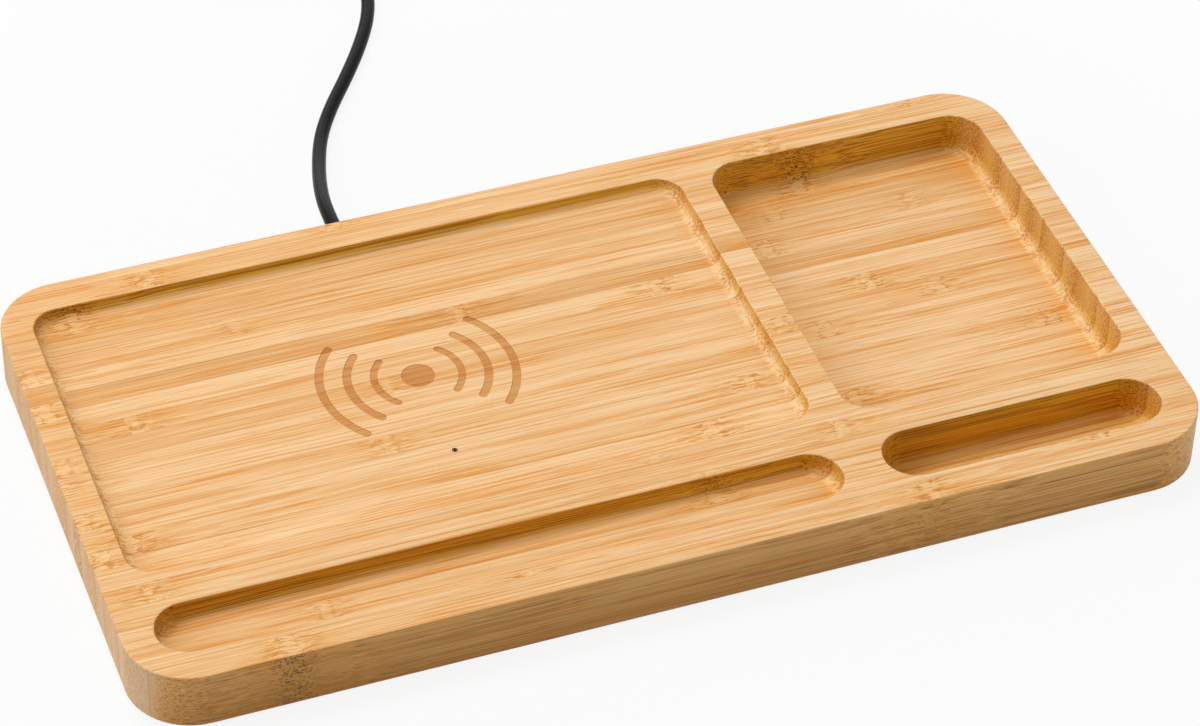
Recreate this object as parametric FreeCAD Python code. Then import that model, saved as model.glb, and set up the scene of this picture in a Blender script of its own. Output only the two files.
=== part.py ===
import FreeCAD, Part
import math
import os

# Bamboo charging station organizer: a milled board with two trays and two slots, a wireless charging
# module in a cavity under the phone tray, and a fixed supply cable with its plug.
# Frame: origin at the middle of the footprint on the resting plane, +X along the board to the right,
# +Y to the rear face where the cable leaves, +Z up. All sizes in millimetres.

V = FreeCAD.Vector
UP = V(0, 0, 1)
BACK = V(0, 1, 0)

# Board outline
board_length = 300.0
board_depth = 160.0
board_corner = 18.0
edge_ease = 0.4
rim_left = 9.0
rim_right = 8.5
rim_front = 9.7
rim_rear = 11.0

# Trays and slots
tray_divider = 9.3
phone_tray_depth = 4.0
phone_tray_corner = 7.5
deep_tray_length = 83.2
deep_tray_floor = 4.5
deep_tray_corner = 9.0
deep_tray_reach = 2.5
slot_width = 17.8
slot_to_tray = 13.0
pen_slot_depth = 6.0
pen_slot_inset = 1.8
short_slot_floor = 5.0
short_slot_inset = 1.3
cove_radius = 3.5

# Engraved wave symbol
engraving_depth = 0.15
symbol_dot_diameter = 9.3
# Each wave's radius, half its angle and the width of its stroke
symbol_waves = ((12.1, 46.0, 2.1), (19.4, 42.0, 2.4), (27.0, 41.5, 2.4))

# Rubber feet
foot_diameter = 12.0
foot_stand = 1.5
foot_recess = 1.0
foot_edge = 0.6
foot_inset_x = 20.0
foot_inset_y = 16.0
foot_gap = 0.1

# Layers of the charging module, from the underside up
cover_thickness = 2.0
component_room = 3.8
circuit_thickness = 1.2
foam_thickness = 1.5
ferrite_thickness = 1.0
glue_film = 0.05
coil_wire = 0.75
coil_headroom = 0.1
tray_skin = 2.6

# Transmitter coil and its shield
coil_turns = 10
coil_pitch = 1.2
coil_inner_radius = 10.4
coil_inner_bend = 5.0
ferrite_margin = 2.6
ferrite_hole_step = 1.9
shield_gap = 3.0

# Circuit board
circuit_ledge = 7.0
circuit_gap = 0.5
circuit_flat = 2.0
board_screw_angles = (35.0, 145.0, 215.0, 325.0)
board_screw_diameter = 2.2
board_screw_head = 3.8
board_screw_head_height = 1.5
board_screw_bite = 4.0

# Parts on the underside of the circuit board: length, width and height
chip_size = (6.0, 6.0, 0.9)
transistor_size = (5.0, 6.0, 1.1)
transistor_places = ((-14.0, 8.0), (-14.0, 16.0), (14.0, 8.0), (14.0, 16.0))
resonant_size = (3.2, 2.5, 2.0)
resonant_places = ((-1.0, -12.0), (3.5, -12.0), (8.0, -12.0), (12.5, -12.0))
inductor_size = (7.0, 7.0, 2.8)
inductor_place = (-14.0, -8.0)
inductor_chamfer = 0.8
input_size = (1.6, 3.2, 1.6)
input_places = ((-7.0, 20.0), (7.0, 20.0))

# Indicator lamp and light pipe
lamp_length = 3.0
lamp_width = 1.5
lamp_height = 0.9
lamp_pocket = 5.0
lamp_gap = 0.1
pipe_diameter = 3.1
pipe_stem = 1.5
pipe_shoulder_depth = 1.5
pipe_recess = 0.6

# Bottom cover
cover_margin = 7.5
cover_corner = 8.0
cover_gap = 0.25
cover_rear_land = 5.0
cover_edge = 0.4
cover_screw_inset = 6.0
cover_screw_diameter = 2.8
cover_screw_head = 5.6
cover_screw_head_height = 1.4
cover_screw_length = 9.0
screw_recess_length = 2.4
screw_recess_width = 0.6
screw_recess_depth = 0.7
screw_gap = 0.05

# Cable, its grommet and its clamp
cable_diameter = 4.2
fit_gap = 0.05
grommet_wall = 1.25
grommet_collar_step = 0.85
grommet_collar_length = 1.8
grommet_collar_gap = 0.4
rear_wall = 8.0
cable_offset = -0.6
boot_length = 8.0
boot_flange = 1.5
boot_flange_step = 1.2
boot_tip_wall = 0.75
boot_grooves = 3
boot_groove_depth = 0.35
boot_groove_width = 0.8
bay_width = 16.0
bay_collar_room = 3.5
clamp_length = 4.8
clamp_floor = 0.85
clamp_side_gap = 0.5
clamp_screw_diameter = 2.0
clamp_screw_head = 3.4
clamp_screw_head_height = 1.3
clamp_screw_bite = 3.0
jacket_tail = 1.5

# Cores between the cable and the circuit board
core_diameter = 1.1
core_spacing = 1.8
core_pad_spacing = 5.0
core_pad_length = 6.0
core_span = 4.0

# Free cable, as steps from the boot's tip: along X, along Y, and the height of its axis above the resting
# plane, in words where it follows the grommet, the resting plane or the coil
free_run_steps = (
    (0.0, 0.0, "exit"),
    (0.0, 9.0, "exit"),
    (1.9, 21.5, 5.9),
    (5.7, 36.0, 3.2),
    (10.6, 50.0, "floor"),
    (17.6, 62.3, "floor"),
    (26.6, 75.2, "floor"),
    (34.9, 88.3, "floor"),
    (41.6, 101.0, "floor"),
    (45.6, 113.5, "floor"),
    (47.4, 127.5, "floor"),
    (48.6, 142.5, "coil"),
    (48.6, 157.0, "coil"),
)

# Put-away coil of the cable: it winds in on the lower layer, climbs, and winds out on the upper one
turn_gap = 0.6
layer_gap = 0.6
inner_turn_radius = 17.4
lower_turns = 3.0
climb_turns = 0.5
upper_turns = 2.75
tie_width = 8.0
tie_thickness = 0.8
tie_gap = 0.2
tie_angle = 205.0
tie_corner = 1.6

# Last stretch to the plug, as steps from the coil's end
tail_steps = (
    (0.0, 0.0, "upper"),
    (-10.0, 0.0, "upper"),
    (-22.0, -0.9, 5.9),
    (-33.5, -2.0, "plug"),
    (-44.0, -2.0, "plug"),
)

# Plug
plug_width = 16.0
plug_height = 8.0
plug_length = 20.0
plug_edge = 1.5
plug_neck_length = 7.0
plug_neck_diameter = 5.4
plug_neck_root = 6.4
shell_width = 12.0
shell_height = 4.5
shell_length = 18.75
shell_wall = 0.3
shell_window_length = 2.5
shell_window_width = 2.0
shell_window_setback = 5.2
shell_window_spread = 2.25
insulator_gap = 0.05
tongue_thickness = 1.84
tongue_setback = 0.6
insulator_back = 7.0
contact_width = 1.0
contact_thickness = 0.15
contact_length = 7.0
contact_setback = 1.5
contact_places = (-3.5, -1.0, 1.0, 3.5)

# Places that follow from the sizes
left = -board_length / 2
right = board_length / 2
front = -board_depth / 2
rear = board_depth / 2

base = foot_stand
cover_top = base + cover_thickness
circuit_bottom = cover_top + component_room
circuit_top = circuit_bottom + circuit_thickness
foam_top = circuit_top + foam_thickness
ferrite_top = foam_top + ferrite_thickness
coil_axis = ferrite_top + glue_film + coil_wire / 2
ceiling = coil_axis + coil_wire / 2 + coil_headroom
phone_floor = ceiling + tray_skin
top = phone_floor + phone_tray_depth

phone_left = left + rim_left
deep_right = right - rim_right
deep_left = deep_right - deep_tray_length
phone_right = deep_left - tray_divider
slot_front = front + rim_front
slot_rear = slot_front + slot_width
phone_front = slot_rear + slot_to_tray
deep_front = phone_front - deep_tray_reach
tray_rear = rear - rim_rear

module = V((phone_left + phone_right) / 2, (phone_front + tray_rear) / 2, 0)
coil_outer_radius = coil_inner_radius + coil_turns * coil_pitch
ferrite_radius = coil_outer_radius + ferrite_margin
ferrite_hole_radius = coil_inner_radius - ferrite_hole_step
upper_bore_radius = ferrite_radius + shield_gap
circuit_radius = upper_bore_radius + circuit_ledge
lower_bore_radius = circuit_radius + circuit_gap
ledge_circle = (upper_bore_radius + circuit_radius) / 2
lamp = module + V(0, -ledge_circle, 0)

cover_half = lower_bore_radius + cover_margin
cover_left = module.x - cover_half
cover_right = module.x + cover_half
cover_front = module.y - cover_half
cover_rear = rear - cover_rear_land

cable_radius = cable_diameter / 2
grommet_bore = cable_diameter + 2 * fit_gap
grommet_diameter = grommet_bore + 2 * grommet_wall
collar_diameter = grommet_diameter + 2 * grommet_collar_step
cable_axis = cover_top + collar_diameter / 2 + grommet_collar_gap
cable_x = module.x + cable_offset
bay_rear = rear - rear_wall
boot_tip = V(cable_x, rear + boot_length, cable_axis)
bay_low_ceiling = cable_axis + cable_radius + fit_gap
bay_high_ceiling = cable_axis + collar_diameter / 2 + fit_gap
circuit_rear = module.y + circuit_radius - circuit_flat
jacket_end = circuit_rear + core_span
clamp_front = jacket_end + jacket_tail
clamp_rear = clamp_front + clamp_length
clamp_half_width = bay_width / 2 - clamp_side_gap
clamp_groove = cable_radius + fit_gap
clamp_bottom = cable_axis - cable_radius - clamp_floor

turn_pitch = cable_diameter + turn_gap
layer_step = cable_diameter + layer_gap
coil_lower_axis = tie_thickness + tie_gap + cable_radius
coil_upper_axis = coil_lower_axis + layer_step
outer_turn_radius = inner_turn_radius + lower_turns * turn_pitch
entry_lean = math.atan(turn_pitch / (2 * math.pi * outer_turn_radius))
last_turn_radius = inner_turn_radius + (upper_turns + entry_lean / math.pi) * turn_pitch
leave_lean = math.atan(turn_pitch / (2 * math.pi * last_turn_radius))
put_away_turns = lower_turns + climb_turns + upper_turns + (entry_lean + leave_lean) / (2 * math.pi)
plug_axis = plug_height / 2


def save(name, *solids):
    """Write one sub-part: a single solid, or a group of separate like solids."""
    shape = solids[0] if len(solids) == 1 else Part.makeCompound(list(solids))
    shape.exportStep("parts/" + name + ".step")


def arc(first, middle, last):
    return Part.Arc(first, middle, last).toShape()


def rod(diameter, bottom, top_z, place):
    """Upright cylinder between two heights."""
    return Part.makeCylinder(diameter / 2, top_z - bottom, V(place.x, place.y, bottom), UP)


def rounded_plate(x0, x1, y0, y1, z0, z1, corner):
    """Upright prism with a rounded rectangular outline; a corner of half the width gives round ends."""
    middles = (
        (V(x1 - corner, y1 - corner, z0), 0),
        (V(x0 + corner, y1 - corner, z0), 90),
        (V(x0 + corner, y0 + corner, z0), 180),
        (V(x1 - corner, y0 + corner, z0), 270),
    )
    corners = []
    for middle, start in middles:
        ends = [math.radians(start + turn) for turn in (0, 45, 90)]
        corners.append([middle + V(math.cos(a), math.sin(a), 0) * corner for a in ends])
    edges = []
    for here, following in zip(corners, corners[1:] + corners[:1]):
        edges.append(arc(*here))
        if here[2].distanceToPoint(following[0]) > 1e-6:
            edges.append(Part.LineSegment(here[2], following[0]).toShape())
    return Part.Face(Part.Wire(edges)).extrude(UP * (z1 - z0))


def edges_at(shape, height):
    """Edges that lie flat at one height."""
    return [e for e in shape.Edges if all(abs(v.Z - height) < 1e-5 for v in e.Vertexes)]


def milled_pocket(x0, x1, y0, y1, floor, corner):
    """Cutter for a tray or slot: straight walls and a coved floor edge."""
    straight_wall = edge_ease + 0.1
    cutter = rounded_plate(x0, x1, y0, y1, floor, top + edge_ease, corner)
    cove = min(cove_radius, top - floor - straight_wall, corner - straight_wall)
    return cutter.makeFillet(cove, edges_at(cutter, floor))


def symbol_cutters():
    """Dot and concentric waves to its left and right, engraved into the phone tray's floor."""
    bottom = phone_floor - engraving_depth
    height = UP * (2 * engraving_depth)
    cutters = [rod(symbol_dot_diameter, bottom, bottom + height.z, module)]
    middle = V(module.x, module.y, bottom)
    for radius, half_angle, stroke in symbol_waves:
        half = stroke / 2
        for side in (0, 180):
            angles = [math.radians(side + turn) for turn in (-half_angle, 0, half_angle)]
            rays = [V(math.cos(a), math.sin(a), 0) for a in angles]
            outer = [middle + ray * (radius + half) for ray in rays]
            inner = [middle + ray * (radius - half) for ray in rays]
            last_cap = middle + rays[2] * radius + UP.cross(rays[2]) * half
            first_cap = middle + rays[0] * radius - UP.cross(rays[0]) * half
            outline = [
                arc(*outer),
                arc(outer[2], last_cap, inner[2]),
                arc(inner[2], inner[1], inner[0]),
                arc(inner[0], first_cap, outer[0]),
            ]
            cutters.append(Part.Face(Part.Wire(outline)).extrude(height))
    return cutters


def foot_places():
    x = right - foot_inset_x
    y = rear - foot_inset_y
    return {
        "foot_front_left": V(-x, -y, 0),
        "foot_front_right": V(x, -y, 0),
        "foot_rear_left": V(-x, y, 0),
        "foot_rear_right": V(x, y, 0),
    }


def cover_screw_places():
    xs = (cover_left + cover_screw_inset, cover_right - cover_screw_inset)
    ys = (cover_front + cover_screw_inset, cover_rear - cover_screw_inset)
    return [V(x, y, 0) for x in xs for y in ys]


def board_screw_places():
    angles = [math.radians(a) for a in board_screw_angles]
    return [module + V(math.cos(a), math.sin(a), 0) * ledge_circle for a in angles]


def clamp_screw_places():
    y = (clamp_front + clamp_rear) / 2
    aside = (clamp_groove + clamp_half_width) / 2
    return [V(cable_x + side * aside, y, 0) for side in (-1, 1)]


def bamboo_body():
    board = rounded_plate(left, right, front, rear, base, top, board_corner)
    slot_end = slot_width / 2
    pockets = [
        milled_pocket(phone_left, phone_right, phone_front, tray_rear, phone_floor, phone_tray_corner),
        milled_pocket(deep_left, deep_right, deep_front, tray_rear,
                      base + deep_tray_floor, deep_tray_corner),
        milled_pocket(phone_left, phone_right - pen_slot_inset, slot_front, slot_rear,
                      top - pen_slot_depth, slot_end),
        milled_pocket(deep_left + short_slot_inset, deep_right - short_slot_inset, slot_front, slot_rear,
                      base + short_slot_floor, slot_end),
    ]
    board = board.cut(pockets)
    board = board.makeFillet(edge_ease, edges_at(board, top))
    return board.cut(symbol_cutters() + underside_cutters())


def underside_cutters():
    """Cover rebate, stepped module cavity, cable bay, lamp hole, foot recesses and screw holes."""
    grow = cover_gap
    bay_left = cable_x - bay_width / 2
    bay_front = module.y + upper_bore_radius
    bay_collar = bay_rear - bay_collar_room
    cutters = [
        rounded_plate(cover_left - grow, cover_right + grow, cover_front - grow, cover_rear + grow,
                      base, cover_top, cover_corner + grow),
        rod(2 * lower_bore_radius, cover_top, circuit_top, module),
        rod(2 * upper_bore_radius, circuit_top, ceiling, module),
        Part.makeBox(bay_width, bay_rear - bay_front, bay_low_ceiling - cover_top,
                     V(bay_left, bay_front, cover_top)),
        Part.makeBox(bay_width, bay_collar_room, bay_high_ceiling - cover_top,
                     V(bay_left, bay_collar, cover_top)),
        Part.makeCylinder(grommet_diameter / 2 + fit_gap, rear_wall, V(cable_x, bay_rear, cable_axis), BACK),
        rod(lamp_pocket, circuit_top, circuit_top + lamp_height + lamp_gap, lamp),
        rod(pipe_diameter + 2 * fit_gap, circuit_top, phone_floor - pipe_shoulder_depth, lamp),
        rod(pipe_stem + 2 * fit_gap, circuit_top, phone_floor, lamp),
    ]
    for place in foot_places().values():
        cutters.append(rod(foot_diameter + 2 * foot_gap, base, base + foot_recess, place))
    for place in cover_screw_places():
        cutters.append(rod(cover_screw_diameter + 2 * screw_gap, base, base + cover_screw_length, place))
    for place in board_screw_places():
        end = circuit_top + board_screw_bite
        cutters.append(rod(board_screw_diameter + 2 * screw_gap, circuit_top, end, place))
    for place in clamp_screw_places():
        end = bay_low_ceiling + clamp_screw_bite
        cutters.append(rod(clamp_screw_diameter + 2 * screw_gap, bay_low_ceiling, end, place))
    return cutters


def cross_recess(place, face):
    """Cutter for the cross in a screw head whose face looks down at the given height."""
    long = screw_recess_length
    thin = screw_recess_width
    low = V(place.x, place.y, face)
    return [
        Part.makeBox(long, thin, screw_recess_depth, low - V(long / 2, thin / 2, 0)),
        Part.makeBox(thin, long, screw_recess_depth, low - V(thin / 2, long / 2, 0)),
    ]


def bottom_cover():
    plate = rounded_plate(cover_left, cover_right, cover_front, cover_rear, base, cover_top, cover_corner)
    plate = plate.makeChamfer(cover_edge, edges_at(plate, base))
    holes = []
    for place in cover_screw_places():
        mouth = V(place.x, place.y, base)
        head = cover_screw_head / 2 + screw_gap
        shank = cover_screw_diameter / 2 + screw_gap
        holes.append(Part.makeCone(head, shank, cover_screw_head_height, mouth, UP))
        holes.append(rod(2 * shank, base, cover_top, place))
    return plate.cut(holes)


def cover_screw(place):
    head = Part.makeCone(cover_screw_head / 2, cover_screw_diameter / 2, cover_screw_head_height,
                         V(place.x, place.y, base), UP)
    shank = rod(cover_screw_diameter, base, base + cover_screw_length, place)
    return head.fuse(shank).removeSplitter().cut(cross_recess(place, base))


def pan_screw(place, seat, diameter, head, head_height, end):
    """Screw that points up, its head's upper side on the seat."""
    cap = rod(head, seat - head_height, seat, place)
    cap = cap.makeFillet(head_height / 3, edges_at(cap, seat - head_height))
    shank = rod(diameter, seat, end, place)
    return cap.fuse(shank).removeSplitter().cut(cross_recess(place, seat - head_height))


def foot(place):
    pad = rod(foot_diameter, 0, base + foot_recess, place)
    return pad.makeFillet(foot_edge, edges_at(pad, 0))


def circuit_board():
    disc = rod(2 * circuit_radius, circuit_bottom, circuit_top, module)
    cutters = [Part.makeBox(2 * circuit_radius, circuit_flat, circuit_thickness,
                            V(module.x - circuit_radius, circuit_rear, circuit_bottom))]
    for place in board_screw_places():
        cutters.append(rod(board_screw_diameter + 2 * screw_gap, circuit_bottom, circuit_top, place))
    return disc.cut(cutters)


def under_circuit(size, place):
    """Block hung under the circuit board, centred on a place given from the module's middle."""
    length, width, height = size
    corner = V(module.x + place[0] - length / 2, module.y + place[1] - width / 2, circuit_bottom - height)
    return Part.makeBox(length, width, height, corner)


def power_inductor():
    block = under_circuit(inductor_size, inductor_place)
    upright = [e for e in block.Edges if abs(e.Vertexes[0].Z - e.Vertexes[1].Z) > 1e-6]
    return block.makeChamfer(inductor_chamfer, upright)


def holed_disc(radius, hole, bottom, upper):
    return rod(2 * radius, bottom, upper, module).cut(rod(2 * hole, bottom, upper, module))


def indicator_led():
    corner = V(lamp.x - lamp_length / 2, lamp.y - lamp_width / 2, circuit_top)
    return Part.makeBox(lamp_length, lamp_width, lamp_height, corner)


def light_pipe():
    shoulder = phone_floor - pipe_shoulder_depth
    body = rod(pipe_diameter, circuit_top + lamp_height + lamp_gap, shoulder, lamp)
    return body.fuse(rod(pipe_stem, shoulder, phone_floor - pipe_recess, lamp)).removeSplitter()


def biarc(start, start_way, end, end_way):
    """Two tangent arcs from one point and direction to another."""
    chord = end - start
    ways = start_way + end_way
    along = chord.dot(ways)
    bend = 2 * (1 - start_way.dot(end_way))
    reach = chord.dot(chord) / (along + math.sqrt(along * along + bend * chord.dot(chord)))
    joint = (start + start_way * reach + end - end_way * reach) * 0.5
    halves = ((start, start + start_way * reach, joint), (joint, end - end_way * reach, end))
    edges = []
    for first, corner, last in halves:
        half_chord = (last - first).Length / 2
        foot_point = (first + last) * 0.5
        lean = math.acos(min(1.0, half_chord / reach))
        outward = (corner - foot_point).normalize()
        edges.append(arc(first, foot_point + outward * (half_chord * math.tan(lean / 2)), last))
    return edges


def way_at(curve, t, step=1e-5):
    """Direction of travel along a curve given as a function of its turns."""
    return (curve(t + step) - curve(t - step)).normalize()


def wound_path(curve, turns, per_turn, lead_length):
    """Biarcs along a winding, with a straight lead at each end."""
    count = round(turns * per_turn)
    marks = [turns * k / count for k in range(count + 1)]
    ways = [way_at(curve, t) for t in marks]
    points = [curve(t) for t in marks]
    entry = points[0] - ways[0] * lead_length
    leave = points[-1] + ways[-1] * lead_length
    edges = [Part.LineSegment(entry, points[0]).toShape()]
    for k in range(count):
        edges.extend(biarc(points[k], ways[k], points[k + 1], ways[k + 1]))
    edges.append(Part.LineSegment(points[-1], leave).toShape())
    return edges


def rounded_path(points, name):
    """Straight runs joined by tangent arcs, each arc as large as its two runs allow."""
    share = 0.45
    edges = []
    radii = []
    start = points[0]
    for before, corner, after in zip(points, points[1:], points[2:]):
        way_in = (corner - before).normalize()
        way_out = (after - corner).normalize()
        half_turn = way_in.getAngle(way_out) / 2
        reach = share * min(corner.distanceToPoint(before), corner.distanceToPoint(after))
        radius = reach / math.tan(half_turn)
        inward = (way_out - way_in).normalize()
        begin = corner - way_in * reach
        end = corner + way_out * reach
        edges.append(Part.LineSegment(start, begin).toShape())
        edges.append(arc(begin, corner + inward * (radius / math.cos(half_turn) - radius), end))
        radii.append(round(radius, 1))
        start = end
    edges.append(Part.LineSegment(start, points[-1]).toShape())
    print(name, "bend radii", radii)
    return edges


def tube(edges, diameter, name):
    """Solid round tube along a path, with its volume set against section times length."""
    path = Part.Wire(edges)
    first = edges[0]
    way = first.tangentAt(first.FirstParameter)
    section = Part.Wire([Part.makeCircle(diameter / 2, first.Vertexes[0].Point, way)])
    solid = path.makePipeShell([section], True, False)
    expected = math.pi * diameter * diameter / 4 * path.Length
    print(name, "length", round(path.Length, 2), "volume share", round(solid.Volume / expected, 5))
    return solid


def least_gap(curve, turns, diameter, name):
    """Smallest clear space between a winding's own turns, measured on points."""
    per_turn = 60
    points = [curve(k / per_turn) for k in range(round(turns * per_turn) + 1)]
    apart = per_turn // 3
    gaps = [
        point.distanceToPoint(other) - diameter
        for k, point in enumerate(points)
        for other in points[k + apart:]
    ]
    print(name, "least gap to itself", round(min(gaps), 3))


def transmitter_turn(t):
    """Point on the flat transmitter coil after t turns outwards."""
    angle = 2 * math.pi * t
    radius = coil_inner_radius + coil_pitch * t
    return V(module.x + radius * math.cos(angle), module.y + radius * math.sin(angle), coil_axis)


def charging_coil():
    """Flat spiral with its inner end turned in; returns the coil and the two ends of its wire."""
    winding = wound_path(transmitter_turn, coil_turns, 2, coil_wire)[1:]
    first = transmitter_turn(0)
    inner_joint = first - V(coil_inner_bend, coil_inner_bend, 0)
    inner_end = inner_joint - V(coil_wire, 0, 0)
    turned_in = biarc(inner_joint, V(1, 0, 0), first, way_at(transmitter_turn, 0))
    straight = Part.LineSegment(inner_end, inner_joint).toShape()
    outer_end = winding[-1].Vertexes[-1].Point
    coil = tube([straight] + turned_in + winding, coil_wire, "charging_coil")
    least_gap(transmitter_turn, coil_turns, coil_wire, "charging_coil")
    return coil, inner_end, outer_end


def coil_leads(inner_end, outer_end):
    """The coil's two ends, led flat off the winding and then down to the circuit board."""
    drop = V(0, 0, circuit_top - coil_axis)
    inner_corner = inner_end - V(drop.Length, 0, 0)
    lead_circle = (ferrite_radius + upper_bore_radius) / 2
    outward = way_at(transmitter_turn, coil_turns)
    flat = outer_end - V(module.x, module.y, outer_end.z)
    along = flat.dot(outward)
    run = math.sqrt(along * along + lead_circle * lead_circle - flat.dot(flat)) - along
    outer_corner = outer_end + outward * run
    inner = rounded_path([inner_end, inner_corner, inner_corner + drop], "inner coil lead")
    outer = rounded_path([outer_end, outer_corner, outer_corner + drop], "outer coil lead")
    return tube(inner, coil_wire, "inner coil lead"), tube(outer, coil_wire, "outer coil lead")


def strain_relief():
    """Grommet turned about the cable: inner collar, neck in the wall, flange and grooved tapered boot."""
    bore = grommet_bore / 2
    neck = grommet_diameter / 2
    collar = collar_diameter / 2
    flange = neck + boot_flange_step
    tip = bore + boot_tip_wall
    taper_start = rear + boot_flange
    taper = boot_length - boot_flange
    profile = [
        (bore, bay_rear - grommet_collar_length),
        (collar, bay_rear - grommet_collar_length),
        (collar, bay_rear),
        (neck, bay_rear),
        (neck, rear),
        (flange, rear),
        (flange, taper_start),
        (neck, taper_start),
    ]
    for k in range(boot_grooves):
        middle = taper * (k + 1) / (boot_grooves + 1)
        for offset, depth in ((-0.5, 0), (-0.5, 1), (0.5, 1), (0.5, 0)):
            along = middle + offset * boot_groove_width
            radius = neck + (tip - neck) * along / taper - depth * boot_groove_depth
            profile.append((radius, taper_start + along))
    profile.append((tip, rear + boot_length))
    profile.append((bore, rear + boot_length))
    points = [V(cable_x + radius, y, cable_axis) for radius, y in profile]
    outline = Part.makePolygon(points + points[:1])
    return Part.Face(outline).revolve(boot_tip, BACK, 360)


def cable_lead_in():
    length = boot_tip.y - jacket_end
    return Part.makeCylinder(cable_radius, length, V(cable_x, jacket_end, cable_axis), BACK)


def cable_clamp():
    """Saddle that presses the cable up against the bay's ceiling."""
    block = Part.makeBox(2 * clamp_half_width, clamp_length, bay_low_ceiling - clamp_bottom,
                         V(cable_x - clamp_half_width, clamp_front, clamp_bottom))
    cutters = [
        Part.makeCylinder(clamp_groove, clamp_length, V(cable_x, clamp_front, cable_axis), BACK),
        Part.makeBox(2 * clamp_groove, clamp_length, bay_low_ceiling - cable_axis,
                     V(cable_x - clamp_groove, clamp_front, cable_axis)),
    ]
    for place in clamp_screw_places():
        cutters.append(rod(clamp_screw_diameter + 2 * screw_gap, clamp_bottom, bay_low_ceiling, place))
    return block.cut(cutters)


def supply_core(side, name):
    """Core from the cable's end face, under the circuit board's rear edge to its pad."""
    pad_height = circuit_bottom - core_diameter / 2 - fit_gap
    x_out = cable_x + side * core_spacing / 2
    x_pad = cable_x + side * core_pad_spacing / 2
    points = [
        V(x_out, jacket_end, cable_axis),
        V(x_out, jacket_end - core_span / 3, cable_axis),
        V(x_pad, circuit_rear + core_span / 3, pad_height),
        V(x_pad, circuit_rear - core_pad_length, pad_height),
    ]
    return tube(rounded_path(points, name), core_diameter, name)


def route(steps, start, heights):
    """Points of a free stretch of cable from its hand-chosen steps."""
    return [V(start.x + dx, start.y + dy, heights.get(height, height)) for dx, dy, height in steps]


def free_run_points():
    heights = {"exit": cable_axis, "floor": cable_radius, "coil": coil_lower_axis}
    return route(free_run_steps, boot_tip, heights)


def coil_middle():
    """Middle of the put-away coil, one straight end past the free run and a turn's radius to its left."""
    joint = free_run_points()[-1] + BACK * cable_diameter
    across = V(-math.cos(entry_lean), math.sin(entry_lean), 0) * outer_turn_radius
    return V(joint.x, joint.y, 0) + across


def put_away_turn(t):
    """Point of the coiled cable after t turns; it comes in along +Y and leaves along -X."""
    reverse = t - lower_turns
    if reverse < 0:
        radius = outer_turn_radius - turn_pitch * t
        height = coil_lower_axis
    elif reverse < climb_turns:
        share = reverse / climb_turns
        radius = inner_turn_radius - turn_pitch * climb_turns * (share - share * share)
        height = coil_lower_axis + layer_step * share * share * (3 - 2 * share)
    else:
        radius = inner_turn_radius + turn_pitch * (reverse - climb_turns)
        height = coil_upper_axis
    angle = 2 * math.pi * t - entry_lean
    return coil_middle() + V(radius * math.cos(angle), radius * math.sin(angle), height)


def cable_coil():
    """The put-away length wound in and out again, and the point where its tail goes on."""
    edges = wound_path(put_away_turn, put_away_turns, 4, cable_diameter)
    least_gap(put_away_turn, put_away_turns, cable_diameter, "cable_coil")
    return tube(edges, cable_diameter, "cable_coil"), edges[-1].Vertexes[-1].Point


def cable_tie():
    """Band round all turns at one place of the coil."""
    sag = tie_width * tie_width / 8 / (inner_turn_radius - cable_diameter)
    dip = turn_pitch * climb_turns / 4
    near = inner_turn_radius - dip - cable_radius - sag - tie_gap
    far = outer_turn_radius + cable_radius + tie_gap
    height = coil_upper_axis + cable_radius + tie_gap
    band = tie_thickness
    outer = rounded_plate(near - band, far + band, 0, height + band, 0, tie_width, tie_corner + band)
    inner = rounded_plate(near, far, band, height, 0, tie_width, tie_corner)
    tie = outer.cut(inner)
    tie.rotate(V(0, 0, 0), V(1, 0, 0), 90)
    tie.translate(V(0, tie_width / 2, 0))
    tie.rotate(V(0, 0, 0), UP, tie_angle)
    tie.translate(coil_middle())
    return tie


def plug(entry):
    """Overmould, shell, insulator and contacts of the plug, which points along -X from the cable's end."""
    y = entry.y
    neck_end = entry.x - plug_neck_length
    front_face = neck_end - plug_length
    body = Part.makeBox(plug_length, plug_width, plug_height, V(front_face, y - plug_width / 2, 0))
    body = body.makeFillet(plug_edge, body.Edges)
    neck = Part.makeCone(plug_neck_diameter / 2, plug_neck_root / 2, plug_neck_length, entry, V(-1, 0, 0))
    overmould = body.fuse(neck).removeSplitter()

    low = plug_axis - shell_height / 2
    tip = front_face - shell_length
    shell = Part.makeBox(shell_length, shell_width, shell_height, V(tip, y - shell_width / 2, low))
    inner_width = shell_width - 2 * shell_wall
    inner_height = shell_height - 2 * shell_wall
    hollow = Part.makeBox(shell_length, inner_width, inner_height,
                          V(tip, y - inner_width / 2, low + shell_wall))
    windows = []
    for side in (-1, 1):
        middle = y + side * shell_window_spread
        corner = V(tip + shell_window_setback, middle - shell_window_width / 2, low)
        windows.append(Part.makeBox(shell_window_length, shell_window_width, shell_height, corner))
    shell = shell.cut([hollow] + windows)

    wide = inner_width - 2 * insulator_gap
    floor = low + shell_wall + insulator_gap
    tall = inner_height - 2 * insulator_gap
    tongue = Part.makeBox(shell_length - tongue_setback, wide, tongue_thickness,
                          V(tip + tongue_setback, y - wide / 2, floor))
    back = Part.makeBox(insulator_back, wide, tall, V(front_face - insulator_back, y - wide / 2, floor))
    insulator = tongue.fuse(back).removeSplitter()

    contacts = []
    contact_tip = tip + tongue_setback + contact_setback
    for place in contact_places:
        corner = V(contact_tip, y + place - contact_width / 2, floor + tongue_thickness)
        contacts.append(Part.makeBox(contact_length, contact_width, contact_thickness, corner))
    return overmould, shell, insulator, contacts


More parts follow.
